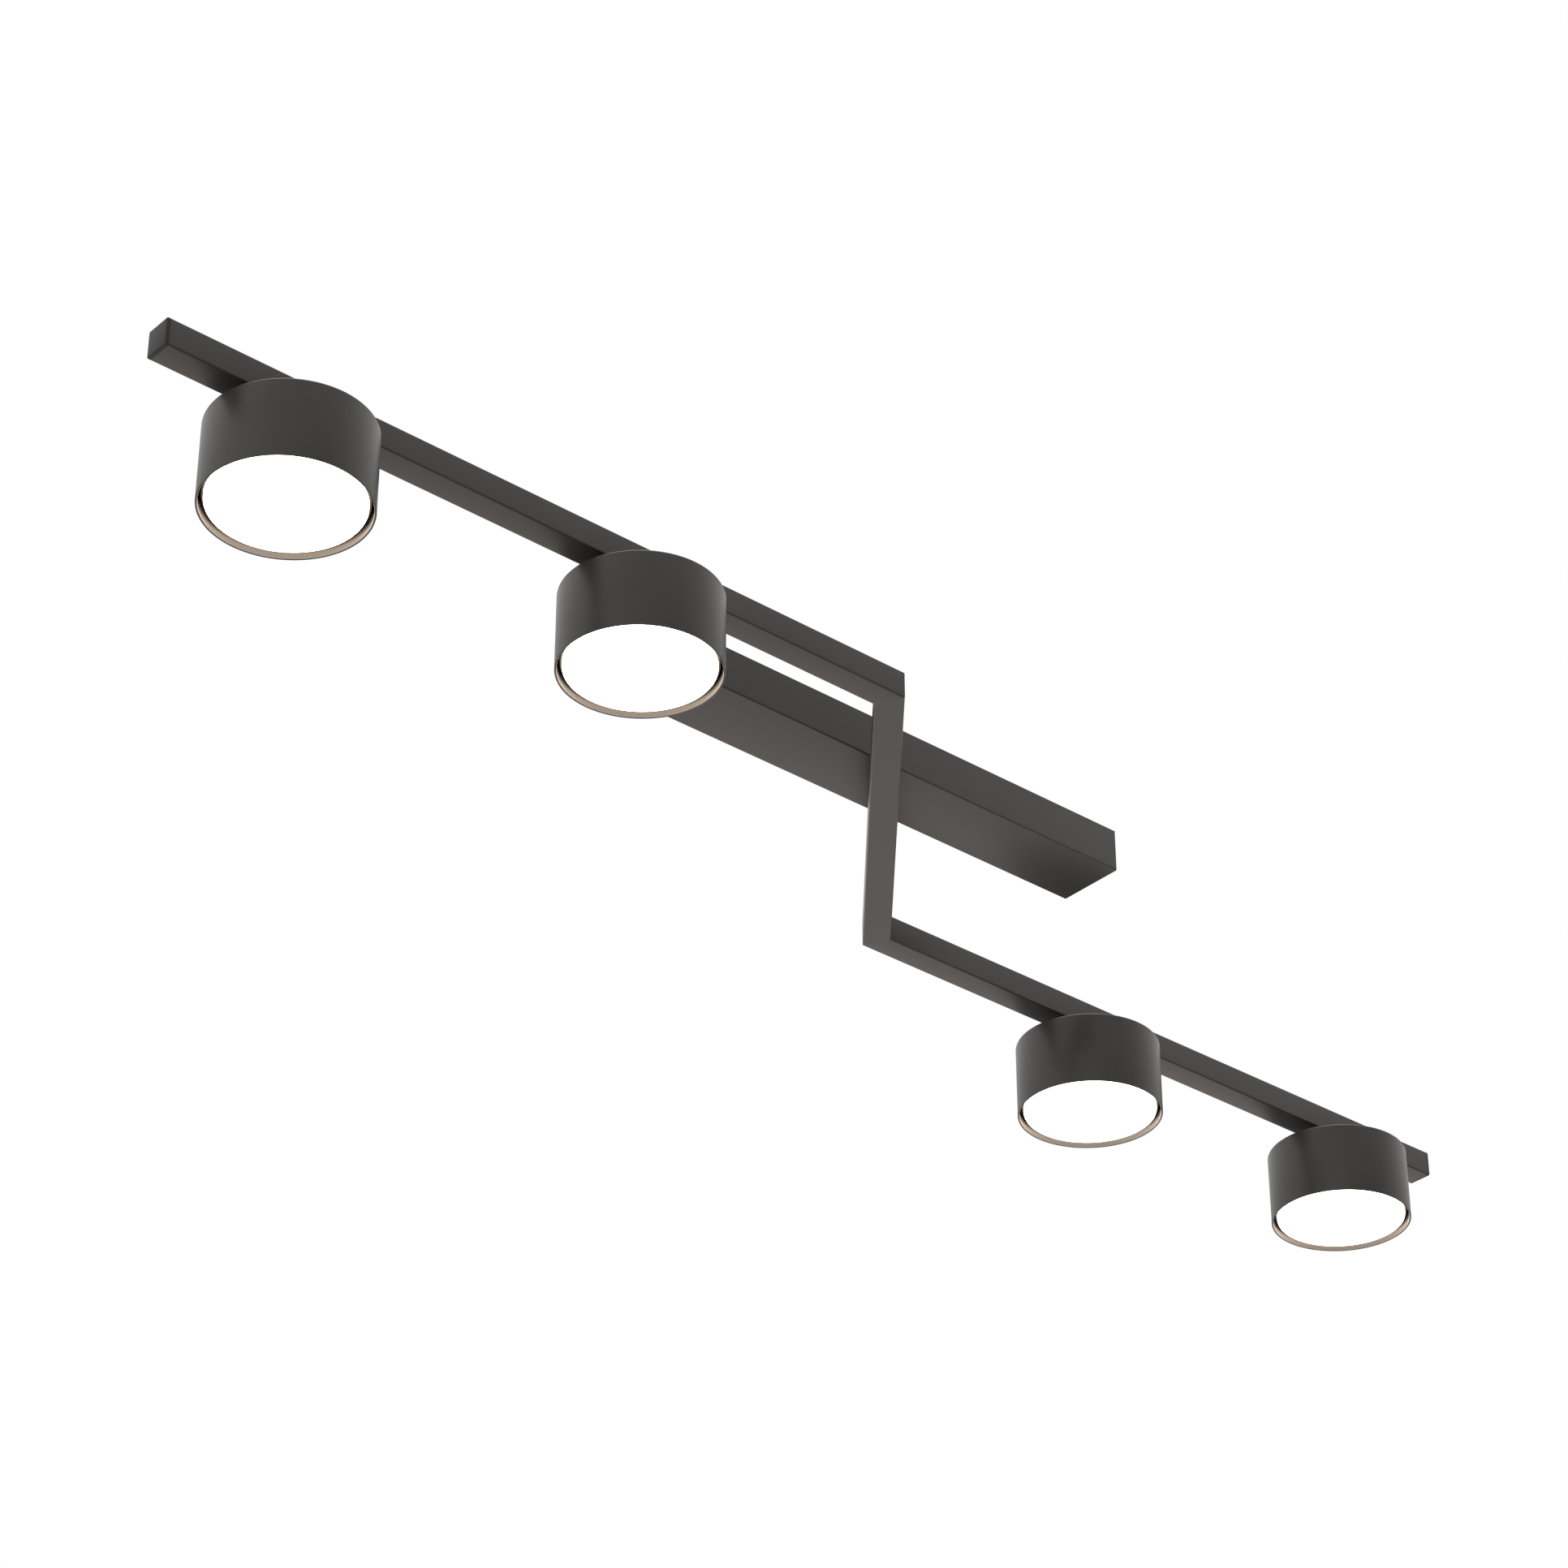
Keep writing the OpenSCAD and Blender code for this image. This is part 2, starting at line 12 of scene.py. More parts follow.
import bmesh
import bpy
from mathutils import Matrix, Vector

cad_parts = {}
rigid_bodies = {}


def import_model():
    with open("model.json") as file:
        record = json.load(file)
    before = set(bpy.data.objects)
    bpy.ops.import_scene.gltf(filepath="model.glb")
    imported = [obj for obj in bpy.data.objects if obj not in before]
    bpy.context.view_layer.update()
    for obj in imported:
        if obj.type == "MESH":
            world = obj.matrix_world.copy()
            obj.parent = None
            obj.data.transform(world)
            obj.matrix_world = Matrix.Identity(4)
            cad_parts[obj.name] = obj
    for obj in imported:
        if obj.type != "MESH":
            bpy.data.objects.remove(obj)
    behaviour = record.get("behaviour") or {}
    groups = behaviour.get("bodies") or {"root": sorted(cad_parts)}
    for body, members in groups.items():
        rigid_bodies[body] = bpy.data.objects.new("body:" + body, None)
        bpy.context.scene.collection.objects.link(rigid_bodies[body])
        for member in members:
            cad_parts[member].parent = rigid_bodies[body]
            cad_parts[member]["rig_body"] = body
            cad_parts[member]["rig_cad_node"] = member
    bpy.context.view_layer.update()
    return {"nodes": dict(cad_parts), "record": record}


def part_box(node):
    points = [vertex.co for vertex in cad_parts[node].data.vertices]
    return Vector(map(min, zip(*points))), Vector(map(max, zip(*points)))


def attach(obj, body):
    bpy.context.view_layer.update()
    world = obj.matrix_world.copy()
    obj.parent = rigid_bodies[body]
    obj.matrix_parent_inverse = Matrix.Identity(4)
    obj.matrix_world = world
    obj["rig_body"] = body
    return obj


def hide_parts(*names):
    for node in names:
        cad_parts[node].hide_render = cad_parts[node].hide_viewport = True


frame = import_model()

# %% [markdown]
# ## Working by hand, from code
# Blender's modelling tools act on what is selected, and the loaded frame arrives selected, so each
# piece starts from an empty selection. A primitive is added at its size and place, and its place is
# then applied to its mesh, so that the object itself sits at the origin and a pattern in its
# material stays where it is.

# %% Starting a piece and picking its parts
MM = 0.001
NEAR = 0.1 * MM  # points closer than this count as in one place
FACING = 0.9     # how far along an axis a normal must point to count as facing it
SMOOTH_BELOW = math.radians(35)  # faces that meet at less than this are shaded as one round


def settle(name):
    """Names the primitive that was just added and moves its place into its mesh."""
    piece = bpy.context.object
    piece.name = piece.data.name = name
    bpy.ops.object.transform_apply(location=True, rotation=True, scale=True)
    return piece


def box_piece(name, size, middle, turn=0.0):
    """A box, turned about the vertical."""
    bpy.ops.object.select_all(action="DESELECT")
    bpy.ops.mesh.primitive_cube_add(size=1, location=middle, rotation=(0, 0, turn), scale=size)
    return settle(name)


def round_piece(name, radius, low, high, middle, sides=160):
    """An upright cylinder between two heights."""
    bpy.ops.object.select_all(action="DESELECT")
    bpy.ops.mesh.primitive_cylinder_add(
        vertices=sides, radius=radius, depth=high - low,
        location=(middle[0], middle[1], (low + high) / 2),
    )
    return settle(name)


def pick_faces(test):
    """In edit mode, selects the faces whose middle and normal pass the test."""
    bpy.ops.mesh.select_mode(type="FACE")
    bpy.ops.mesh.select_all(action="DESELECT")
    data = bpy.context.object.data
    mesh = bmesh.from_edit_mesh(data)
    for face in mesh.faces:
        face.select_set(test(face.calc_center_median(), face.normal))
    mesh.select_flush_mode()
    bmesh.update_edit_mesh(data)


def pick_edges(test):
    """In edit mode, selects the edges whose two ends pass the test."""
    bpy.ops.mesh.select_mode(type="EDGE")
    bpy.ops.mesh.select_all(action="DESELECT")
    data = bpy.context.object.data
    mesh = bmesh.from_edit_mesh(data)
    for edge in mesh.edges:
        edge.select_set(test(edge.verts[0].co, edge.verts[1].co))
    mesh.select_flush_mode()
    bmesh.update_edit_mesh(data)


def push(x=0.0, y=0.0, z=0.0):
    """Extrudes the selected faces by a step."""
    bpy.ops.mesh.extrude_region_move(TRANSFORM_OT_translate={"value": (x, y, z)})


def close_piece(piece):
    """Leaves edit mode with all faces pointing outwards, and shades round parts smooth."""
    bpy.ops.mesh.select_all(action="SELECT")
    bpy.ops.mesh.normals_make_consistent(inside=False)
    bpy.ops.object.mode_set(mode="OBJECT")
    bpy.ops.object.shade_smooth_by_angle(angle=SMOOTH_BELOW)
    return piece


print("the picking helpers are ready")

# %% [markdown]
# ## Materials: the helpers
# A colour is picked on screen as a hex value, which is sRGB, but a shader works in linear light, so
# one function turns the one into the other. Another adds a node with its settings and its links.

# %% Colour and nodes
def hex_colour(code):
    """A screen colour such as #454442 as linear red, green, blue and alpha."""
    parts = [int(code[i:i + 2], 16) / 255 for i in (1, 3, 5)]
    return [p / 12.92 if p <= 0.04045 else ((p + 0.055) / 1.055) ** 2.4 for p in parts] + [1.0]


def add_node(tree, kind, settings=None, **links):
    """Adds a node; a link's value is a socket, and any other value is set on the input."""
    node = tree.nodes.new(kind)
    for name, value in (settings or {}).items():
        setattr(node, name, value)
    for name, value in links.items():
        socket = node.inputs[int(name[1:])] if name[0] == "_" else node.inputs[name.replace("_", " ")]
        if isinstance(value, bpy.types.NodeSocket):
            tree.links.new(value, socket)
        else:
            socket.default_value = value
    return node


def new_material(name):
    """A material, with its tree, its shader and the place on the object that patterns follow."""
    material = bpy.data.materials.new(name)
    material.use_nodes = True
    tree = material.node_tree
    shader = tree.nodes["Principled BSDF"]
    where = add_node(tree, "ShaderNodeTexCoord").outputs["Object"]
    return material, tree, shader, where


def ramp(tree, factor, stops):
    """A colour ramp through (position, hex colour) stops."""
    node = add_node(tree, "ShaderNodeValToRGB", Fac=factor)
    band = node.color_ramp
    while len(band.elements) < len(stops):
        band.elements.new(0.5)
    for element, (at, code) in zip(band.elements, stops):
        element.position, element.color = at, hex_colour(code)
    return node.outputs["Color"]


def spread(tree, factor, low, high):
    """Stretches a 0 to 1 value to a range."""
    return add_node(tree, "ShaderNodeMapRange", _0=factor, _3=low, _4=high).outputs[0]


print("the material helpers are ready")

# %% [markdown]
# ## Powder coat
# The tube, canopy, sleeves and drums are steel with a dark warm grey polyester powder coat. The
# powder melts into a satin skin with a faint orange-peel ripple and a fine sandy grain. It could be
# one flat colour, but then the long faces look like card. Here a broad, faint cloud shifts the
# colour, a grain breaks the gloss, and a ripple bends the reflections. The real grain is about
# 0.3 mm, too fine to show, so it is drawn at 1 mm.

# %% Make the powder coat
COAT_GRAIN = 1.0 * MM
COAT_RIPPLE = 4.0 * MM
COAT_CLOUD = 40 * MM


def powder_coat(name, dark, light, roughness):
    """A satin coat between two near colours, with a cloud, a grain and a ripple."""
    material, tree, shader, where = new_material(name)
    cloud = add_node(tree, "ShaderNodeTexNoise", Vector=where, Scale=1 / COAT_CLOUD, Detail=2.0)
    grain = add_node(tree, "ShaderNodeTexNoise", Vector=where, Scale=1 / COAT_GRAIN, Detail=3.0)
    ripple = add_node(tree, "ShaderNodeTexNoise", Vector=where, Scale=1 / COAT_RIPPLE, Detail=1.0)
    both = add_node(tree, "ShaderNodeMath", {"operation": "MULTIPLY_ADD"},
                    _0=grain.outputs["Fac"], _1=0.5, _2=spread(tree, cloud.outputs["Fac"], -0.1, 0.6))
    tree.links.new(ramp(tree, both.outputs[0], [(0.3, dark), (0.75, light)]), shader.inputs["Base Color"])
    tree.links.new(spread(tree, grain.outputs["Fac"], roughness - 0.05, roughness + 0.07),
                   shader.inputs["Roughness"])
    height = add_node(tree, "ShaderNodeMath", {"operation": "MULTIPLY_ADD"},
                      _0=grain.outputs["Fac"], _1=0.25, _2=ripple.outputs["Fac"])
    bump = add_node(tree, "ShaderNodeBump", Strength=0.25, Distance=0.03 * MM, Height=height.outputs[0])
    tree.links.new(bump.outputs["Normal"], shader.inputs["Normal"])
    shader.inputs["IOR"].default_value = 1.5
    return material


coat = powder_coat("polyester_powder_coat", "#252422", "#2b2a28", 0.37)
print("made", coat.name)

# %% [markdown]
# ## Moulded and plated finishes
# The end caps and lamp housings are injection-moulded plastic: a spark-eroded mould leaves a fine
# matt texture. Nuts, nipples and the bracket are steel with bright zinc, which is a metal with a
# soft crystalline bloom. Contacts and pins are turned or stamped brass. Each gets its base from
# typical values and a pattern at the size that its process leaves.

# %% Make the moulded and plated finishes
def moulded(name, dark, light, roughness, texture=0.8 * MM, shine=0.5):
    """A plastic whose mould left a fine texture."""
    material, tree, shader, where = new_material(name)
    spark = add_node(tree, "ShaderNodeTexNoise", Vector=where, Scale=1 / texture, Detail=4.0)
    tree.links.new(ramp(tree, spark.outputs["Fac"], [(0.35, dark), (0.65, light)]),
                   shader.inputs["Base Color"])
    tree.links.new(spread(tree, spark.outputs["Fac"], roughness - 0.06, roughness + 0.06),
                   shader.inputs["Roughness"])
    bump = add_node(tree, "ShaderNodeBump", Strength=0.2, Distance=0.02 * MM, Height=spark.outputs["Fac"])
    tree.links.new(bump.outputs["Normal"], shader.inputs["Normal"])
    shader.inputs["IOR"].default_value = 1.46
    shader.inputs["Specular IOR Level"].default_value = shine
    return material


def plated(name, dark, light, roughness, bloom=3.0 * MM):
    """A bare or plated metal with a soft crystalline bloom."""
    material, tree, shader, where = new_material(name)
    shader.inputs["Metallic"].default_value = 1.0
    crystal = add_node(tree, "ShaderNodeTexVoronoi", Vector=where, Scale=1 / bloom)
    haze = add_node(tree, "ShaderNodeTexNoise", Vector=where, Scale=0.3 / bloom, Detail=3.0)
    mixed = add_node(tree, "ShaderNodeMath", {"operation": "MULTIPLY_ADD"},
                     _0=crystal.outputs["Distance"], _1=0.4, _2=haze.outputs["Fac"])
    tree.links.new(ramp(tree, mixed.outputs[0], [(0.4, dark), (0.8, light)]), shader.inputs["Base Color"])
    tree.links.new(spread(tree, haze.outputs["Fac"], roughness - 0.08, roughness + 0.1),
                   shader.inputs["Roughness"])
    return material


finishes = {
    "powder_coat": coat,
    "cap_plastic": moulded("moulded_abs_cap", "#252423", "#2c2b29", 0.45, shine=0.22),
    "lamp_plastic": moulded("moulded_pbt_housing", "#1f1d1b", "#282624", 0.5),
    "white_plastic": moulded("moulded_pbt_holder", "#d9d5cb", "#e6e2d8", 0.45),
    "cable_sheath": moulded("extruded_silicone_sheath", "#191919", "#232323", 0.55, 2 * MM),
    "earth_insulation": moulded("extruded_pvc_insulation", "#5d8f2c", "#6da238", 0.4, 2 * MM),
    "circuit_board": moulded("solder_masked_board", "#dddcd4", "#ebeae3", 0.35, 1.5 * MM),
    "zinc_steel": plated("bright_zinc_steel", "#a9acb0", "#c6c9cc", 0.34),
    "dark_screw": plated("black_oxide_steel", "#151515", "#222120", 0.4, 1.5 * MM),
    "brass": plated("turned_brass", "#b58a3c", "#d0a555", 0.28, 2 * MM),
}
print("made", len(finishes), "finishes")

# %% [markdown]
# ## The lit opal cup
# The cup is opal acrylic: tiny white beads scatter the light of the chips behind it, so that it
# shows no single chip and glows evenly, a little less at its very edge. Real scattering could be
# traced through the cup, but it is slow and the eye can't tell. Here the cup's skin gives out the
# light itself, with a falloff that is measured from the middle of its own head.

# %% Make the lit opal acrylic
OPAL_GLOW = 13.0


def opal_acrylic(number, middle, radius):
    """The lit skin of one head's cup, brightest over the cup's middle."""
    material, tree, shader, where = new_material(f"lit_opal_acrylic_{number}")
    place = add_node(tree, "ShaderNodeMapping", Vector=where, Location=(-middle[0], -middle[1], 0),
                     Scale=(1, 1, 0))
    out = add_node(tree, "ShaderNodeVectorMath", {"operation": "LENGTH"}, _0=place.outputs[0])
    share = add_node(tree, "ShaderNodeMath", {"operation": "DIVIDE"}, _0=out.outputs["Value"], _1=radius)
    beads = add_node(tree, "ShaderNodeTexNoise", Vector=where, Scale=1 / (2 * MM), Detail=3.0)
    tint = ramp(tree, share.outputs[0], [(0.0, "#fff2e6"), (0.85, "#ffeede"), (1.0, "#ffe8d2")])
    fade = add_node(tree, "ShaderNodeMapRange", {"interpolation_type": "SMOOTHSTEP"},
                    _0=share.outputs[0], _1=0.8, _2=1.0, _3=OPAL_GLOW, _4=OPAL_GLOW * 0.6)
    shader.inputs["Base Color"].default_value = hex_colour("#f4f1ea")
    tree.links.new(spread(tree, beads.outputs["Fac"], 0.3, 0.42), shader.inputs["Roughness"])
    shader.inputs["IOR"].default_value = 1.49
    tree.links.new(tint, shader.inputs["Emission Color"])
    tree.links.new(fade.outputs[0], shader.inputs["Emission Strength"])
    return material


print("the opal glows at", OPAL_GLOW)

# %% [markdown]
# ## Riding and replacing
# A new piece takes the place of the frame's node, rides on the same body as that node, and takes
# the finish of that node's slot unless it is handed one of its own.

# %% Hand a piece over
SLOT_OF = {row["node"]: row["material_slot"] for row in frame["record"]["subparts"]}
BODY_OF = {node: body for body, nodes in frame["record"]["behaviour"]["bodies"].items() for node in nodes}


def hand_over(piece, node, material=None):
    """Gives a piece its finish, and puts it in its node's place and on its node's body."""
    piece.data.materials.clear()
    piece.data.materials.append(material or finishes[SLOT_OF[node]])
    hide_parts(node)
    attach(piece, BODY_OF[node])
    print(f"{piece.name}: {len(piece.data.polygons)} faces")


# %% [markdown]
# ## The square tube
# Each arm and the bar are 15 mm square tube with a thin wall and corners rolled to a 1 mm radius.
# The tube is mitred at half the angle of the turn, welded and ground flush, so no seam shows. Its
# plan could be typed in again, but the engineering model already holds it, so it is measured there.

# %% Measure the frame's plan
arm_low, arm_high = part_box("left_arm")
TUBE = arm_high.z - arm_low.z
TUBE_WALL = 1.2 * MM
TUBE_CORNER = 1.0 * MM
BAR_TURN = math.radians(50)
ARM_Y = -(arm_low.y + arm_high.y) / 2
TUBE_Z = (arm_low.z + arm_high.z) / 2
CORNER_X = ARM_Y / math.tan(BAR_TURN)
print(f"tube {TUBE / MM:.1f} mm, arms at {ARM_Y / MM:.1f} mm, corners at {CORNER_X / MM:.1f} mm")

# %% [markdown]
# ### One length of tube and its mitre
# A mill rolls strip into square tube, and a saw cuts it. A curve with a square bevel could make the
# same length. Here a cube is stretched to it instead, because its sides stay flat: its two ends are
# inset by the wall and bridged into a tunnel, the long edges are bevelled, and a bisect cuts the
# mitre, as a saw would. The cut is bridged again, so the wall is solid right up to the weld.

# %% Make a length of tube
def square_tube(name, start, end):
    """A tube between two points of its centre line, with open ends."""
    run = end - start
    along = run.normalized()
    piece = box_piece(name, (run.length, TUBE, TUBE), (start + end) / 2, math.atan2(run.y, run.x))
    bpy.ops.object.mode_set(mode="EDIT")
    pick_faces(lambda c, n: abs(n.dot(along)) > FACING)
    bpy.ops.mesh.inset(thickness=TUBE_WALL)
    bpy.ops.mesh.bridge_edge_loops()

    def is_outer(point):
        """Whether a point lies on the tube's outer corners rather than its inner ones."""
        off = point - start
        off -= along * off.dot(along)
        return off.length > (TUBE - TUBE_WALL) / math.sqrt(2)

    pick_edges(lambda a, b: abs((b - a).normalized().dot(along)) > FACING and is_outer(a))
    bpy.ops.mesh.bevel(offset=TUBE_CORNER, segments=5, affect="EDGES")
    return piece


def cut_mitre(corner, keep):
    """Cuts the tube across its corner's mitre plane, keeps one side and closes the wall."""
    bpy.ops.mesh.select_all(action="SELECT")
    half = BAR_TURN / 2
    plane = Vector((math.cos(half), math.sin(half), 0))
    bpy.ops.mesh.bisect(plane_co=corner, plane_no=plane,
                        clear_outer=keep == "inner", clear_inner=keep == "outer")
    bpy.ops.mesh.select_mode(type="EDGE")
    bpy.ops.mesh.select_all(action="DESELECT")
    bpy.ops.mesh.select_non_manifold()
    bpy.ops.mesh.bridge_edge_loops()


print(f"tube wall {TUBE_WALL / MM:.1f} mm, corners rolled to {TUBE_CORNER / MM:.1f} mm")

# %% [markdown]
# ### Two arms and a bar
# On the welder's bench, two arms lie parallel and a bar joins them at 50 degrees. One bent path
# could give the same outline, but the real light is three cut lengths, so each is made a little too
# long and cut by itself. One plane cuts both sides of a corner, so they meet without a gap.

# %% Build the arms and the bar
corners = {"left": Vector((-CORNER_X, -ARM_Y, TUBE_Z)), "right": Vector((CORNER_X, ARM_Y, TUBE_Z))}
spare = 2 * TUBE  # the extra length that the mitre cuts off
bar_along = (corners["right"] - corners["left"]).normalized()
for side, sign in (("left", -1), ("right", 1)):
    low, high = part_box(f"{side}_arm")
    end_x = low.x if sign < 0 else high.x
    far = Vector((end_x, sign * ARM_Y, TUBE_Z))
    near = corners[side] - Vector((sign * spare, 0, 0))
    arm = square_tube(f"tube_{side}_arm", far, near)
    cut_mitre(corners[side], "inner" if sign < 0 else "outer")
    hand_over(close_piece(arm), f"{side}_arm")

bar = square_tube("tube_middle_bar", corners["left"] - spare * bar_along,
                  corners["right"] + spare * bar_along)
cut_mitre(corners["left"], "outer")
cut_mitre(corners["right"], "inner")
hand_over(close_piece(bar), "middle_bar")

# %% [markdown]
# ## End caps
# A moulded cap closes each open end: a flange with softened edges, as wide as the tube, and a
# hollow plug that grips inside it. The flange is a short box, and the plug is insets and extrusions
# of its inner face.

# %% Build the end caps
CAP_EDGE = 0.9 * MM
CAP_FIT = 0.1 * MM
CAP_PLUG_WALL = 1.2 * MM
CAP_HOLLOW = 0.95  # how much of the plug's depth is hollow
for side, sign in (("left", -1), ("right", 1)):
    low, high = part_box(f"{side}_end_cap")
    outer_x = low.x if sign < 0 else high.x
    tube_low, tube_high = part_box(f"{side}_arm")
    joint_x = tube_low.x if sign < 0 else tube_high.x
    plug_x = high.x if sign < 0 else low.x
    cap = box_piece(f"cap_{side}_end", (abs(outer_x - joint_x), TUBE, TUBE),
                    ((outer_x + joint_x) / 2, sign * ARM_Y, TUBE_Z))
    bpy.ops.object.mode_set(mode="EDIT")
    pick_faces(lambda c, n: n.x * sign < -FACING)
    bpy.ops.mesh.inset(thickness=TUBE_WALL + CAP_FIT)
    push(x=plug_x - joint_x)
    bpy.ops.mesh.inset(thickness=CAP_PLUG_WALL)
    push(x=(joint_x - plug_x) * CAP_HOLLOW)
    pick_edges(lambda a, b: all(
        max(abs(p.y - sign * ARM_Y), abs(p.z - TUBE_Z)) > TUBE / 2 - NEAR for p in (a, b)
    ) and not all(abs(p.x - joint_x) < NEAR for p in (a, b)))
    bpy.ops.mesh.bevel(offset=CAP_EDGE, segments=4, affect="EDGES")
    hand_over(close_piece(cap), f"{side}_end_cap")

# %% [markdown]
# ## The canopy cover
# The cover is a shallow box of folded and welded sheet, open to the ceiling, with 1 mm radii on its
# folds. A box is inset on its open side by the sheet's thickness and pushed in to its floor, and
# the outside edges are bevelled. A lattice of planes with a solidify would do too, but the inset
# keeps the wall the same all round.

# %% Build the canopy cover
low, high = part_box("canopy_cover")
CANOPY_WALL = 1.2 * MM
FOLD = 1.0 * MM
cover = box_piece("canopy_folded_cover", high - low, (low + high) / 2)
bpy.ops.object.mode_set(mode="EDIT")
pick_faces(lambda c, n: n.z > FACING)
bpy.ops.mesh.inset(thickness=CANOPY_WALL)
push(z=-(high.z - low.z - CANOPY_WALL))


def on_outside(point):
    """Whether a point lies on one of the cover's four outer walls."""
    return min(point.x - low.x, high.x - point.x, point.y - low.y, high.y - point.y) < NEAR


pick_edges(lambda a, b: on_outside(a) and on_outside(b) and min(a.z, b.z) < low.z + NEAR)
bpy.ops.mesh.bevel(offset=FOLD, segments=5, affect="EDGES")
hand_over(close_piece(cover), "canopy_cover")

# %% [markdown]
# ## Sleeves
# A short turned sleeve round each hollow nipple keeps the gap between two parts. It is a cylinder
# whose two ends are inset to the bore and bridged, with a small turned chamfer on its rims.

# %% Build the sleeves
HEADS = 4
BORE = 5.2 * MM
SLEEVE_RADIUS = 7 * MM
SLEEVE_CHAMFER = 0.3 * MM


def turned_sleeve(name, low, high, middle):
    """A sleeve between two heights, with its bore."""
    piece = round_piece(name, SLEEVE_RADIUS, low, high, middle, sides=64)
    bpy.ops.object.mode_set(mode="EDIT")
    pick_faces(lambda c, n: abs(n.z) > FACING)
    bpy.ops.mesh.inset(thickness=SLEEVE_RADIUS - BORE)
    bpy.ops.mesh.bridge_edge_loops()

    def on_rim(point):
        """Whether a point lies on the sleeve's outer face."""
        return (point.xy - Vector(middle)).length > SLEEVE_RADIUS - NEAR

    pick_edges(lambda a, b: on_rim(a) and on_rim(b) and abs(a.z - b.z) < NEAR)
    bpy.ops.mesh.bevel(offset=SLEEVE_CHAMFER, segments=2, affect="EDGES")
    return close_piece(piece)


for number in range(1, HEADS + 1):
    low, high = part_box(f"sleeve_{number}")
    sleeve = turned_sleeve(f"head_{number}_sleeve", low.z, high.z, ((low + high) / 2).xy)
    hand_over(sleeve, f"sleeve_{number}")

low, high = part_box("hanger_sleeves")
reach = Vector((SLEEVE_RADIUS, SLEEVE_RADIUS))
spots = (low.xy + reach, high.xy - reach)
pair = [turned_sleeve(f"hanger_sleeve_{i}", low.z, high.z, spot) for i, spot in enumerate(spots)]
bpy.ops.object.select_all(action="DESELECT")
for piece in pair:
    piece.select_set(True)
bpy.context.view_layer.objects.active = pair[0]
bpy.ops.object.join()
pair[0].name = pair[0].data.name = "hanger_turned_sleeves"
hand_over(pair[0], "hanger_sleeves")

# %% [markdown]
# ## The drum
# Each head is a spun steel drum: a 1 mm wall, a top edge rolled over the spinning tool and a raw
# rim broken with a file. A profile could be spun round the axis, but a cylinder is round already:
# its underside is inset and pushed up to its ceiling, and a hole is bridged through the top for the
# nipple.

# %% Build the drums
low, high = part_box("shell_1")
DRUM_WALL = 1.0 * MM
DRUM_ROLL = 1.2 * MM
DRUM_BREAK = 0.2 * MM
axis = ((low + high) / 2).xy
radius = (high.x - low.x) / 2
drum = round_piece("head_1_drum", radius, low.z, high.z, axis)
bpy.ops.object.mode_set(mode="EDIT")
pick_faces(lambda c, n: n.z < -FACING)
bpy.ops.mesh.inset(thickness=DRUM_WALL)
push(z=high.z - low.z - DRUM_WALL)
bpy.ops.mesh.inset(thickness=radius - DRUM_WALL - BORE)
ceiling = high.z - DRUM_WALL
pick_faces(lambda c, n: n.z > FACING and c.z > ceiling + NEAR)
bpy.ops.mesh.inset(thickness=radius - BORE)
pick_faces(lambda c, n: abs(n.z) > FACING and (c.xy - axis).length < NEAR)
bpy.ops.mesh.bridge_edge_loops()


def rim_edges(at_z, at_radius):
    """Selects the edges round the head's axis at a height and a radius."""
    pick_edges(lambda a, b: all(
        abs(p.z - at_z) < NEAR and abs((p.xy - axis).length - at_radius) < NEAR for p in (a, b)
    ))


rim_edges(high.z, radius)
bpy.ops.mesh.bevel(offset=DRUM_ROLL, segments=6, affect="EDGES")
for at_radius in (radius, radius - DRUM_WALL):
    rim_edges(low.z, at_radius)
    bpy.ops.mesh.bevel(offset=DRUM_BREAK, segments=2, affect="EDGES")
close_piece(drum)


# %% [markdown]
# ### Four heads from one
# All four heads come off the same tool, so the drum is modelled once, round the first head's axis.
# Linked copies would share one mesh, but a finished piece keeps its place in its mesh, so each copy
# gets a mesh of its own and is moved by the distance between the heads.

# %% Copy a piece to the other heads
def copy_to_head(piece, node, number):
    """A copy with its own mesh, moved to where the frame has that head's node."""
    here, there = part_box(f"{node}_1"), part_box(f"{node}_{number}")
    twin = piece.copy()
    twin.data = piece.data.copy()
    twin.parent = None
    twin.name = twin.data.name = piece.name.replace("_1_", f"_{number}_")
    bpy.context.scene.collection.objects.link(twin)
    bpy.ops.object.select_all(action="DESELECT")
    twin.select_set(True)
    bpy.context.view_layer.objects.active = twin
    twin.location = (there[0] + there[1] - here[0] - here[1]) / 2
    bpy.ops.object.transform_apply(location=True, rotation=True, scale=True)
    return twin


drums = [drum] + [copy_to_head(drum, "shell", n) for n in range(2, HEADS + 1)]
for number, piece in enumerate(drums, 1):
    hand_over(piece, f"shell_{number}")

# %% [markdown]
# ## The opal cups
# Under each drum, the lamp's cup closes the face: a shallow moulded dish with a well-rounded edge
# that sits just inside the drum's rim. A cylinder is hollowed from behind with an inset and a push,
# and its front edge gets a full bevel. Each cup has its own material, because the glow is measured
# from the middle of its own head.

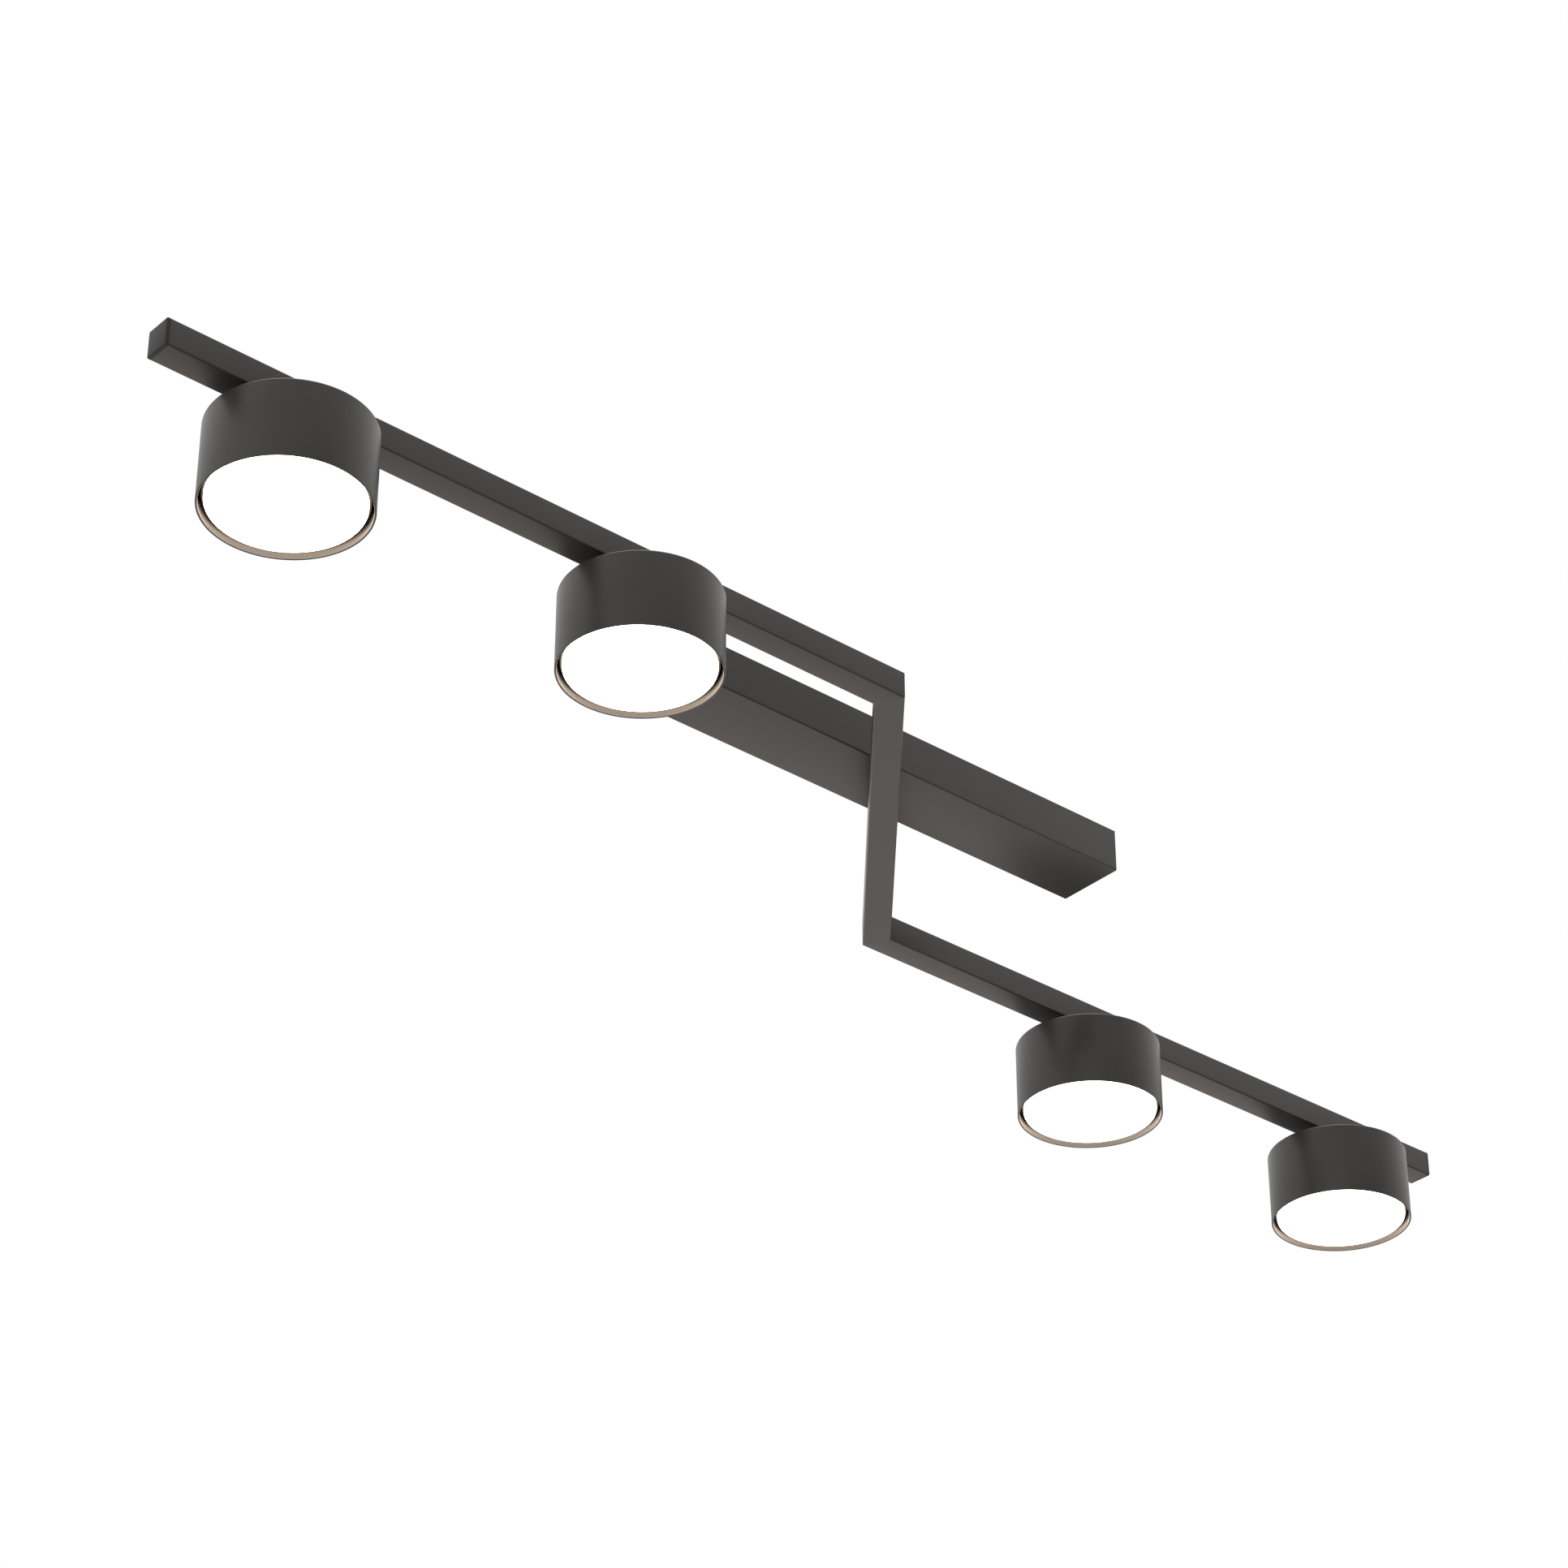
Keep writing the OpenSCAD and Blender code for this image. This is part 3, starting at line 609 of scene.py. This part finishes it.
# %% Build the cups
low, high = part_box("diffuser_1")
cup_radius = (high.x - low.x) / 2
CUP_WALL = 1.5 * MM
CUP_ROUND = 1.4 * MM
cup = round_piece("head_1_opal_cup", cup_radius, low.z, high.z, axis)
bpy.ops.object.mode_set(mode="EDIT")
pick_faces(lambda c, n: n.z > FACING)
bpy.ops.mesh.inset(thickness=CUP_WALL)
push(z=-(high.z - low.z - CUP_WALL))
rim_edges(low.z, cup_radius)
bpy.ops.mesh.bevel(offset=CUP_ROUND, segments=6, affect="EDGES")
close_piece(cup)
cups = [cup] + [copy_to_head(cup, "diffuser", n) for n in range(2, HEADS + 1)]
for number, piece in enumerate(cups, 1):
    low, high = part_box(f"diffuser_{number}")
    hand_over(piece, f"diffuser_{number}", opal_acrylic(number, (low + high) / 2, cup_radius))

# %% [markdown]
# ## The parts that the frame already has right
# Nuts, nipples, holders, housings, the bracket and the wiring have their true shapes in the frame.
# Their nodes stay as they are and take their finish. The frame's meshes are loose triangles, so
# where a round flank shows from above or in the gap round a cup, a copy is welded, cleaned of its
# flat seams, given a fine edge break and shaded smooth.

# %% Finish the frame's own parts
WELD = 0.002 * MM
FLAT_SEAM = math.radians(1)
EDGE_BREAK = 0.2 * MM
SHARP_ABOVE = math.radians(40)

for name, node in frame["nodes"].items():
    node.data.materials.clear()
    node.data.materials.append(finishes.get(SLOT_OF[name], coat))  # cups have taken their nodes' place


def dressed_copy(node, name, edge):
    """A welded copy of a frame node with broken edges."""
    piece = frame["nodes"][node].copy()
    piece.data = piece.data.copy()
    piece.parent = None
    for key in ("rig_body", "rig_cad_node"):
        del piece[key]
    piece.name = piece.data.name = name
    bpy.context.scene.collection.objects.link(piece)
    bpy.ops.object.select_all(action="DESELECT")
    piece.select_set(True)
    bpy.context.view_layer.objects.active = piece
    bpy.ops.object.mode_set(mode="EDIT")
    bpy.ops.mesh.select_all(action="SELECT")
    bpy.ops.mesh.remove_doubles(threshold=WELD)
    bpy.ops.mesh.dissolve_limited(angle_limit=FLAT_SEAM)
    bpy.ops.object.mode_set(mode="OBJECT")
    if edge:
        bevel = piece.modifiers.new("edge break", "BEVEL")
        bevel.width, bevel.segments, bevel.angle_limit = edge, 2, SHARP_ABOVE
        bpy.ops.object.modifier_apply(modifier=bevel.name)
    bpy.ops.object.shade_smooth_by_angle(angle=SMOOTH_BELOW)
    hand_over(piece, node)


dressed_copy("ceiling_bracket", "pressed_ceiling_bracket", EDGE_BREAK)
dressed_copy("canopy_screws", "canopy_socket_screws", EDGE_BREAK)
dressed_copy("terminal_block", "moulded_terminal_block", EDGE_BREAK)
for number in range(1, HEADS + 1):
    dressed_copy(f"lamp_housing_{number}", f"lamp_{number}_moulded_housing", 0)
print("finished", len(frame["nodes"]), "nodes of the frame")

# %% [markdown]
# ## The studio
# The light hangs in a plain white studio over a pale paper floor, under a weak and very soft key
# light. The floor could be a curved sweep, but a wide plane looks the same from here. It is left
# out of reflections, so that the room alone decides what the coat shows.

# %% Lay the floor and hang the key light
FLOOR_Z = -3.6
FLOOR_SIZE = 40
KEY_POWER = 0.8
KEY_SOFTNESS = math.radians(40)
bpy.ops.object.select_all(action="DESELECT")
bpy.ops.mesh.primitive_plane_add(size=FLOOR_SIZE, location=(0, 0, FLOOR_Z))
floor = bpy.context.object
floor.name = "studio_floor"
floor.visible_glossy = False
paper, tree, shader, where = new_material("seamless_paper")
fibre = add_node(tree, "ShaderNodeTexNoise", Vector=where, Scale=3.0, Detail=4.0)
tree.links.new(ramp(tree, fibre.outputs["Fac"], [(0.3, "#f4f3f1"), (0.7, "#f7f6f4")]),
               shader.inputs["Base Color"])
shader.inputs["Roughness"].default_value = 0.9
floor.data.materials.append(paper)

bpy.ops.object.light_add(type="SUN", location=(0, 0, 3))
key = bpy.context.object
key.name = "soft_key"
key.data.energy = KEY_POWER
key.data.angle = KEY_SOFTNESS
print("floor at", FLOOR_Z, "m")

# %% [markdown]
# ### The room that the coat reflects
# A satin coat this dark shows its room more than its own colour. White walls and black cloths shape
# what it shows in a real studio. Boards and lamps could stand round the light here too, but a world
# that is shaded by direction changes smoothly and has no edges. It is white and slightly warm all
# round, dimmer up in front, and dark down in front, where the viewer stands. That dark zone draws a
# fine line along every rounded edge.

# %% Shade the room by direction
WHITE_ROOM = 1.13
DIM_ABOVE = (-0.1, -0.62, 0.78)
DARK_BELOW = (0.15, -0.72, -0.68)

world = bpy.data.worlds.new("white_studio")
bpy.context.scene.world = world
world.use_nodes = True
tree = world.node_tree
tree.nodes.clear()
direction = add_node(tree, "ShaderNodeTexCoord").outputs["Generated"]


def zone(centre, start, end, inside):
    """Falls from 1 to a level as a direction comes near the centre of a zone."""
    near = add_node(tree, "ShaderNodeVectorMath", {"operation": "DOT_PRODUCT"},
                    _0=direction, _1=Vector(centre).normalized())
    fall = add_node(tree, "ShaderNodeMapRange", {"interpolation_type": "SMOOTHSTEP"},
                    _0=near.outputs["Value"], _1=start, _2=end, _3=1.0, _4=inside)
    return fall.outputs[0]


above = zone(DIM_ABOVE, start=0.35, end=0.95, inside=0.65)
below = zone(DARK_BELOW, start=0.40, end=0.85, inside=0.30)
level = add_node(tree, "ShaderNodeMath", {"operation": "MULTIPLY"}, _0=above, _1=below).outputs[0]
power = add_node(tree, "ShaderNodeMath", {"operation": "MULTIPLY"}, _0=level, _1=WHITE_ROOM).outputs[0]
height = add_node(tree, "ShaderNodeSeparateXYZ", Vector=direction).outputs["Z"]
up = add_node(tree, "ShaderNodeMapRange", _0=height, _1=-1.0, _2=1.0).outputs[0]
walls = ramp(tree, up, [(0.25, "#fff6ef"), (0.6, "#fffdf9")])
lit = add_node(tree, "ShaderNodeBackground", Color=walls, Strength=power)
seen = add_node(tree, "ShaderNodeBackground", Color=(1, 1, 1, 1), Strength=1.0)
is_seen = add_node(tree, "ShaderNodeLightPath").outputs["Is Camera Ray"]
both = add_node(tree, "ShaderNodeMixShader", _0=is_seen, _1=lit.outputs[0], _2=seen.outputs[0])
add_node(tree, "ShaderNodeOutputWorld", Surface=both.outputs[0])
bpy.context.scene.view_settings.view_transform = "Standard"
print("the room is at", WHITE_ROOM, "of plain white")

# %% [markdown]
# ## The camera
# The light is seen from below and from its left front corner, as by someone who stands in the room
# and looks up at it. A 100 mm lens keeps the near arm from looming.

# %% Place the camera
STAND_AT = (-1.2836, -1.4236, -1.2283)
LOOK_UP = 0.562
LOOK_RIGHT = 0.7072
LENS = 100.4
bpy.ops.object.camera_add(location=STAND_AT, rotation=(math.radians(90) + LOOK_UP, 0, -LOOK_RIGHT))
camera = bpy.context.object
camera.name = "room_camera"
camera.data.lens = LENS
camera.data.sensor_width = 36
camera.data.clip_start, camera.data.clip_end = 0.05, 100
bpy.context.scene.camera = camera
print("camera at", [round(v, 3) for v in camera.location])
